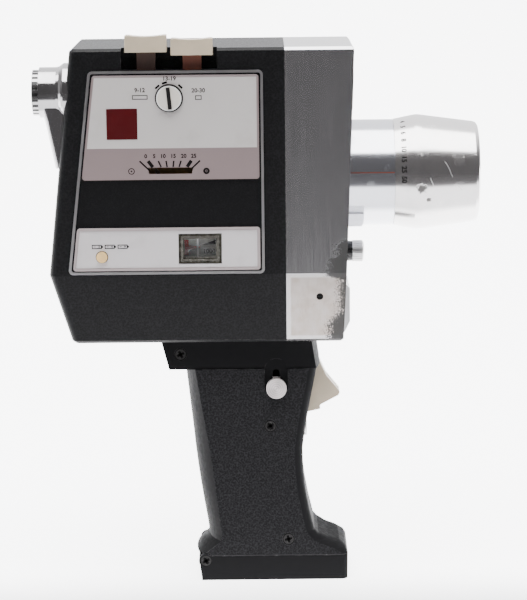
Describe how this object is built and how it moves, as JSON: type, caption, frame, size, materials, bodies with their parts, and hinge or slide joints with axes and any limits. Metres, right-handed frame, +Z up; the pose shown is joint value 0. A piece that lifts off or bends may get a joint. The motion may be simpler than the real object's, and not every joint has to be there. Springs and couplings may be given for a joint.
{
  "type": "movie camera",
  "caption": "Hand-held movie camera with a pistol grip, zoom lens, eyepiece, hinged film door and a battery compartment in the grip.",
  "frame": {"origin": "middle of the tripod socket, on the underside of the foot", "axes": "+X the way the lens looks, +Z up, -Y towards the side with the control panel"},
  "size_m": [0.1803, 0.0618, 0.2279],
  "materials": {
    "body_shell": "fine wrinkle paint",
    "front_housing": "brushed, worn at the lower front edge",
    "side_panel": "fine wrinkle paint",
    "panel_trim": "polished, lightly worn",
    "dial_plate": "satin anodised, printed",
    "meter_plate": "satin anodised, printed",
    "meter_case": "satin black",
    "meter_window": "clear window",
    "control_switches": "satin black",
    "finder_tube": "blackened metal",
    "finder_window": "coated lens glass",
    "eyepiece_housing": "polished, lightly worn",
    "lens_barrel": "brushed, worn at the lower front edge",
    "zoom_motor": "plated can",
    "rear_lens_group": "coated lens glass",
    "knob_collar": "blackened metal",
    "photocell_bezel": "satin black",
    "photocell_window": "clear window",
    "body_hinge_leaf": "turned steel",
    "front_plate": "turned steel",
    "mechanism_plate": "blackened metal",
    "drive_motor": "plated can",
    "film_gate": "turned steel",
    "grip_near": "smooth black",
    "grip_far": "smooth black",
    "grip_bracket": "turned steel",
    "remote_jack": "satin black",
    "battery_carrier": "satin black",
    "cells": "plain sleeve",
    "screws": "blackened metal",
    "finder_dial": "polished, lightly worn",
    "finder_carriage": "satin black",
    "battery_test_button": "polished, lightly worn",
    "footage_pointer": "red pointer",
    "meter_needle": "blackened metal",
    "wide_key": "ivory moulding",
    "wide_key_stem": "brown laminate",
    "tele_key": "ivory moulding",
    "tele_key_stem": "brown laminate",
    "eyepiece_ring": "polished, lightly worn",
    "eyepiece_lens": "coated lens glass",
    "zoom_ring": "blackened metal",
    "zoom_pinion": "machined brass",
    "zoom_lens_group": "coated lens glass",
    "focus_ring": "polished, lightly worn",
    "front_cell": "blackened metal",
    "front_element": "coated lens glass",
    "front_knob": "polished, lightly worn",
    "film_door": "fine wrinkle paint",
    "door_latch": "polished, lightly worn",
    "motor_shaft": "turned steel",
    "idler_gear": "machined brass",
    "shutter": "blackened metal",
    "takeup_spindle": "turned steel",
    "takeup_spool": "blackened metal",
    "feed_spindle": "turned steel",
    "trigger": "ivory moulding",
    "lock_button": "polished, lightly worn",
    "battery_door": "smooth black",
    "tripod_bush": "machined brass"
  },
  "bodies": {
    "camera": {"body_shell": "body_shell", "front_housing": "front_housing", "side_panel": "side_panel", "panel_trim": "panel_trim", "dial_plate": "dial_plate", "meter_plate": "meter_plate", "meter_case": "meter_case", "meter_window": "meter_window", "control_switches": "control_switches", "finder_tube": "finder_tube", "finder_window": "finder_window", "eyepiece_housing": "eyepiece_housing", "lens_barrel": "lens_barrel", "zoom_motor": "zoom_motor", "rear_lens_group": "rear_lens_group", "knob_collar": "knob_collar", "photocell_bezel": "photocell_bezel", "photocell_window": "photocell_window", "body_hinge_leaf": "body_hinge_leaf", "front_plate": "front_plate", "mechanism_plate": "mechanism_plate", "drive_motor": "drive_motor", "film_gate": "film_gate", "grip_near": "grip_near", "grip_far": "grip_far", "grip_bracket": "grip_bracket", "remote_jack": "remote_jack", "battery_carrier": "battery_carrier", "cells": "cells", "screws": "screws"},
    "finder_dial": {"finder_dial": "finder_dial"},
    "finder_carriage": {"finder_carriage": "finder_carriage"},
    "test_button": {"battery_test_button": "battery_test_button"},
    "footage_pointer": {"footage_pointer": "footage_pointer"},
    "needle": {"meter_needle": "meter_needle"},
    "wide_key": {"wide_key": "wide_key", "wide_key_stem": "wide_key_stem"},
    "tele_key": {"tele_key": "tele_key", "tele_key_stem": "tele_key_stem"},
    "eyepiece": {"eyepiece_ring": "eyepiece_ring", "eyepiece_lens": "eyepiece_lens"},
    "zoom_ring": {"zoom_ring": "zoom_ring"},
    "zoom_pinion": {"zoom_pinion": "zoom_pinion"},
    "zoom_group": {"zoom_lens_group": "zoom_lens_group"},
    "focus_ring": {"focus_ring": "focus_ring"},
    "front_cell": {"front_cell": "front_cell", "front_element": "front_element"},
    "front_knob": {"front_knob": "front_knob"},
    "film_door": {"film_door": "film_door"},
    "door_latch": {"door_latch": "door_latch"},
    "motor_shaft": {"motor_shaft": "motor_shaft"},
    "idler": {"idler_gear": "idler_gear"},
    "shutter": {"shutter": "shutter"},
    "takeup": {"takeup_spindle": "takeup_spindle", "takeup_spool": "takeup_spool"},
    "feed": {"feed_spindle": "feed_spindle"},
    "trigger": {"trigger": "trigger"},
    "lock_button": {"lock_button": "lock_button"},
    "battery_door": {"battery_door": "battery_door", "tripod_bush": "tripod_bush"}
  },
  "joints": [
    {"name": "trigger_pull", "type": "hinge", "parent": "camera", "child": "trigger", "pos_m": [0.0172, 0, 0.0892], "axis": [0, 1, 0], "range_deg": [0, 9], "stiffness_Nm_per_rad": 0.15, "springref_deg": -2.86},
    {"name": "lock_slide", "type": "slide", "parent": "camera", "child": "lock_button", "axis": [0, 0, 1], "range_m": [0, 0.0057]},
    {"name": "wide_key_press", "type": "slide", "parent": "camera", "child": "wide_key", "axis": [0, 0, -1], "range_m": [0, 0.0025], "stiffness_N_per_m": 400, "springref_m": -0.0005},
    {"name": "tele_key_press", "type": "slide", "parent": "camera", "child": "tele_key", "axis": [0, 0, -1], "range_m": [0, 0.0013], "stiffness_N_per_m": 400, "springref_m": -0.0005},
    {"name": "finder_dial_turn", "type": "hinge", "parent": "camera", "child": "finder_dial", "pos_m": [-0.0391, 0, 0.2029], "axis": [0, 1, 0], "range_deg": [-43, 51]},
    {"name": "finder_carriage_slide", "type": "slide", "parent": "camera", "child": "finder_carriage", "axis": [1, 0, 0], "range_m": [-0.002, 0.0024]},
    {"name": "test_button_press", "type": "slide", "parent": "camera", "child": "test_button", "axis": [0, 1, 0], "range_m": [0, 0.0009], "stiffness_N_per_m": 500, "springref_m": -0.0003},
    {"name": "needle_swing", "type": "hinge", "parent": "camera", "child": "needle", "pos_m": [-0.0288, 0, 0.1334], "axis": [0, 1, 0], "range_deg": [-20, 20], "stiffness_Nm_per_rad": 0.0002},
    {"name": "footage_swing", "type": "hinge", "parent": "camera", "child": "footage_pointer", "pos_m": [-0.0388, 0, 0.1647], "axis": [0, 1, 0], "range_deg": [0, 68]},
    {"name": "eyepiece_turn", "type": "hinge", "parent": "camera", "child": "eyepiece", "pos_m": [-0.09, -0.0155, 0.2044], "axis": [1, 0, 0], "range_deg": [0, 180]},
    {"name": "zoom_turn", "type": "hinge", "parent": "camera", "child": "zoom_ring", "pos_m": [0.045, 0, 0.1687], "axis": [1, 0, 0], "range_deg": [0, 90]},
    {"name": "zoom_pinion_turn", "type": "hinge", "parent": "camera", "child": "zoom_pinion", "pos_m": [0.03, 0, 0.1512], "axis": [1, 0, 0], "range_deg": [-540, 0]},
    {"name": "zoom_group_slide", "type": "slide", "parent": "camera", "child": "zoom_group", "axis": [-1, 0, 0], "range_m": [0, 0.0131]},
    {"name": "focus_turn", "type": "hinge", "parent": "camera", "child": "focus_ring", "pos_m": [0.07, 0, 0.1687], "axis": [1, 0, 0], "range_deg": [0, 270]},
    {"name": "front_cell_slide", "type": "slide", "parent": "camera", "child": "front_cell", "axis": [1, 0, 0], "range_m": [0, 0.0016]},
    {"name": "front_knob_turn", "type": "hinge", "parent": "camera", "child": "front_knob", "pos_m": [0.034, 0, 0.1359], "axis": [1, 0, 0], "range_deg": [0, 300]},
    {"name": "film_door_swing", "type": "hinge", "parent": "camera", "child": "film_door", "pos_m": [0.0026, 0.0294, 0.175], "axis": [0, 0, -1], "range_deg": [0, 105]},
    {"name": "door_latch_turn", "type": "hinge", "parent": "film_door", "child": "door_latch", "pos_m": [-0.068, 0.028, 0.165], "axis": [0, 1, 0], "range_deg": [-90, 0]},
    {"name": "motor_turn", "type": "hinge", "parent": "camera", "child": "motor_shaft", "pos_m": [0, -0.013, 0.121], "axis": [1, 0, 0], "continuous": true},
    {"name": "idler_turn", "type": "hinge", "parent": "camera", "child": "idler", "pos_m": [0.008, -0.00396, 0.13726], "axis": [1, 0, 0], "continuous": true},
    {"name": "shutter_turn", "type": "hinge", "parent": "camera", "child": "shutter", "pos_m": [0.009, -0.0085, 0.1596], "axis": [1, 0, 0], "continuous": true},
    {"name": "takeup_turn", "type": "hinge", "parent": "camera", "child": "takeup", "pos_m": [-0.051, 0, 0.133], "axis": [0, 1, 0], "continuous": true},
    {"name": "feed_turn", "type": "hinge", "parent": "camera", "child": "feed", "pos_m": [-0.051, 0, 0.19], "axis": [0, 1, 0], "continuous": true},
    {"name": "battery_door_swing", "type": "hinge", "parent": "camera", "child": "battery_door", "pos_m": [-0.0274, 0, 0.0084], "axis": [0, 1, 0], "range_deg": [0, 60]}
  ],
  "couplings": [
    {"joint": "finder_dial_turn", "follows": "finder_carriage_slide", "rad_per_m": 358.42},
    {"joint": "zoom_pinion_turn", "follows": "zoom_turn", "ratio": -6},
    {"joint": "zoom_group_slide", "follows": "zoom_turn", "m_per_rad": 0.0082761},
    {"joint": "front_cell_slide", "follows": "focus_turn", "m_per_rad": 0.00031831},
    {"joint": "idler_turn", "follows": "shutter_turn", "ratio": -0.58333},
    {"joint": "motor_turn", "follows": "shutter_turn", "ratio": 2},
    {"joint": "takeup_turn", "follows": "shutter_turn", "ratio": 0.05}
  ]
}
